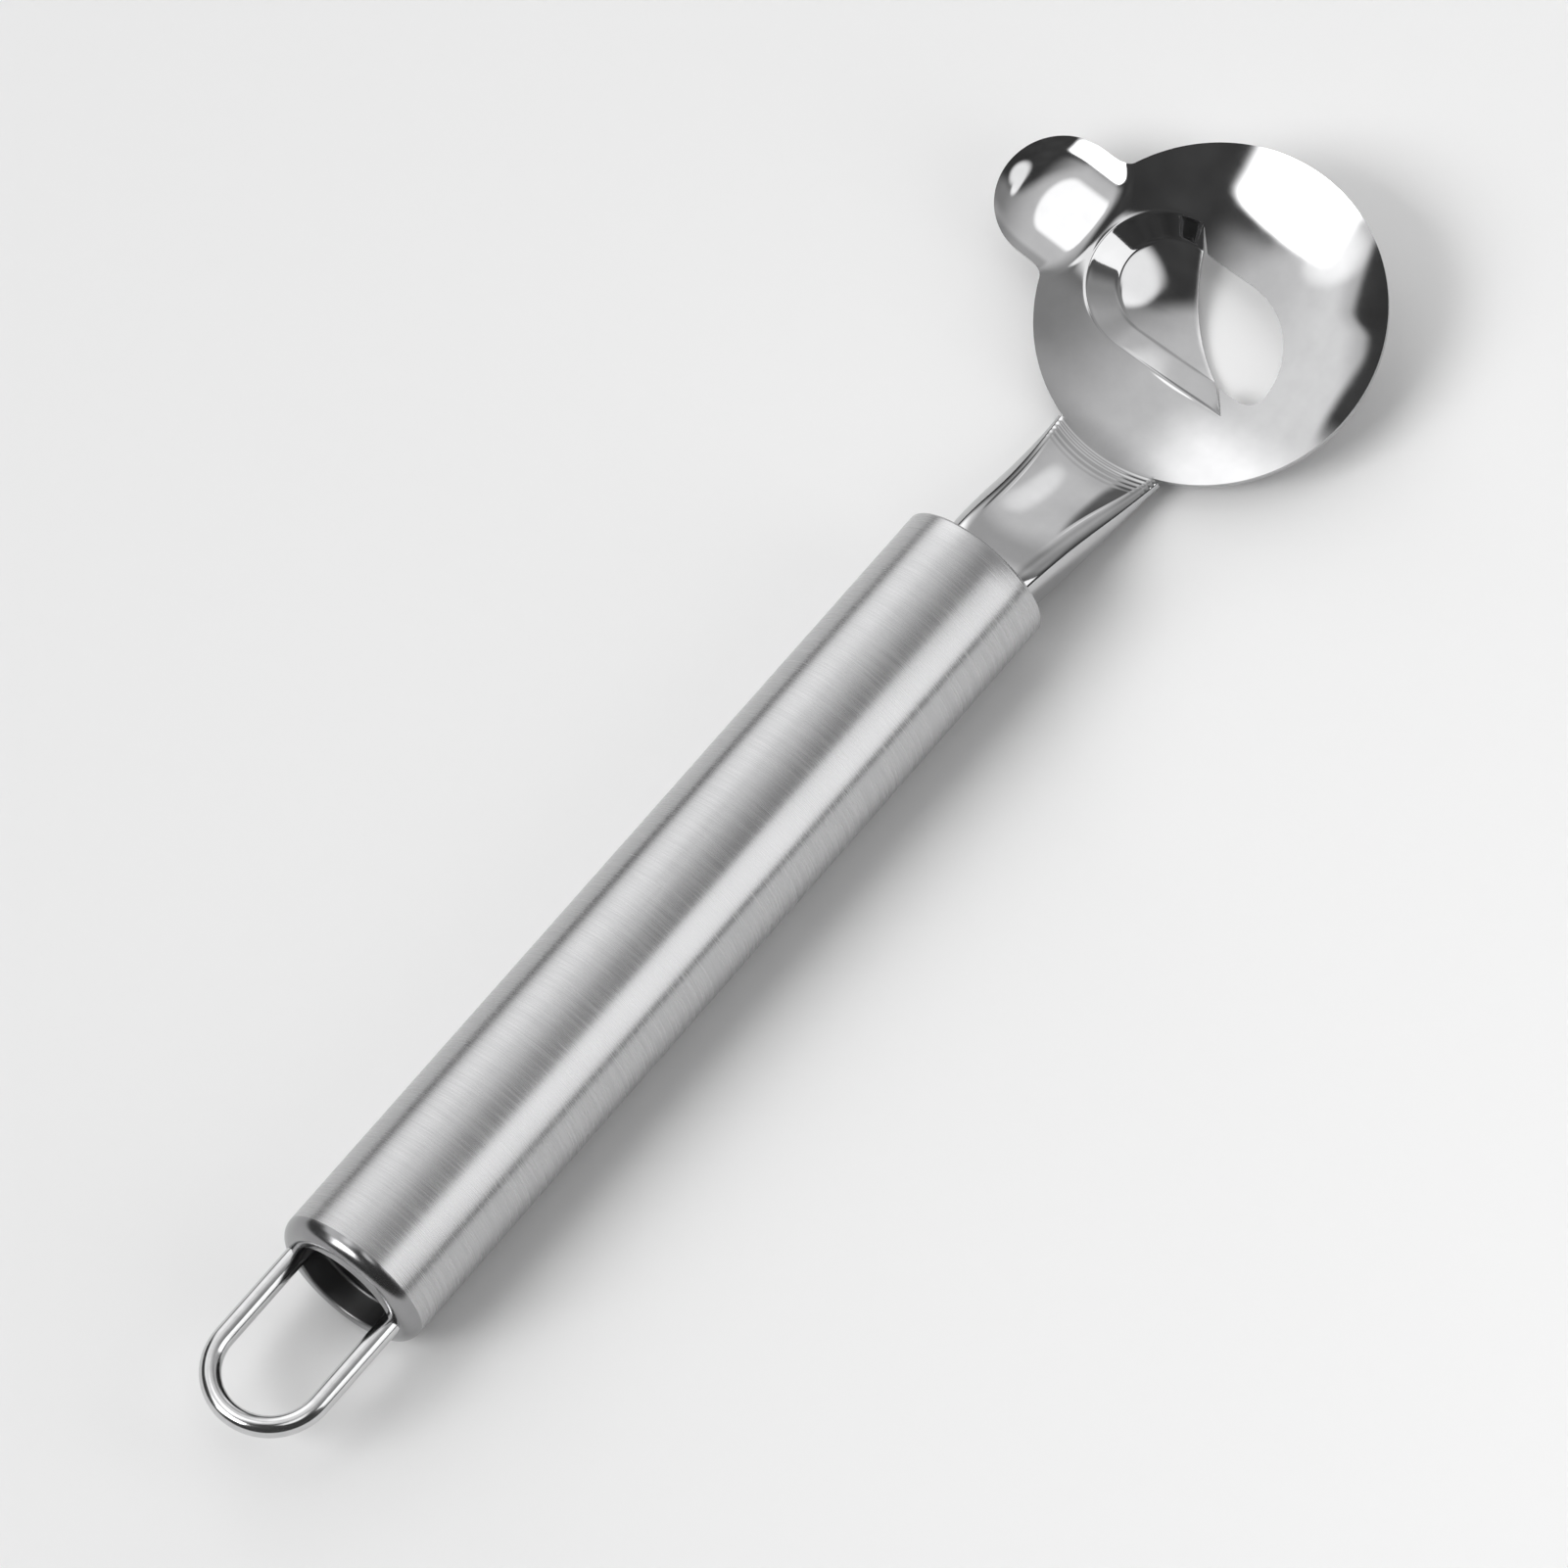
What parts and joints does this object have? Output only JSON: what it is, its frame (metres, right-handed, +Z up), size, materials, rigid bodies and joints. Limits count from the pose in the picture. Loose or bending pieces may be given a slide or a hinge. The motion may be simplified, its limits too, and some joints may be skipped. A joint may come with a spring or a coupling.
{
  "type": "cactus peeler",
  "caption": "Steel hand peeler: a shallow dished head with a pressed scoop blade beside a punched opening, a small spoon lobe, a round hollow handle and a wire hanging loop.",
  "frame": {"origin": "on the table, on the lowest line of the handle tube, under the middle of the tube's length", "axes": "+X along the handle from the loop to the head, +Y across the head to the spoon lobe, +Z up out of the bowl"},
  "size_m": [0.2051, 0.0531, 0.02],
  "materials": {
    "polished_steel": "mirror-polished stainless steel sheet and wire",
    "satin_steel": "satin stainless tube with a fine grain running round it",
    "pressed_steel": "pressed stainless caps, lightly polished"
  },
  "bodies": {
    "root": {"blade_head": "polished_steel", "handle_tube": "satin_steel", "front_cap": "pressed_steel", "rear_cap": "pressed_steel", "hanging_loop": "polished_steel"}
  },
  "joints": []
}
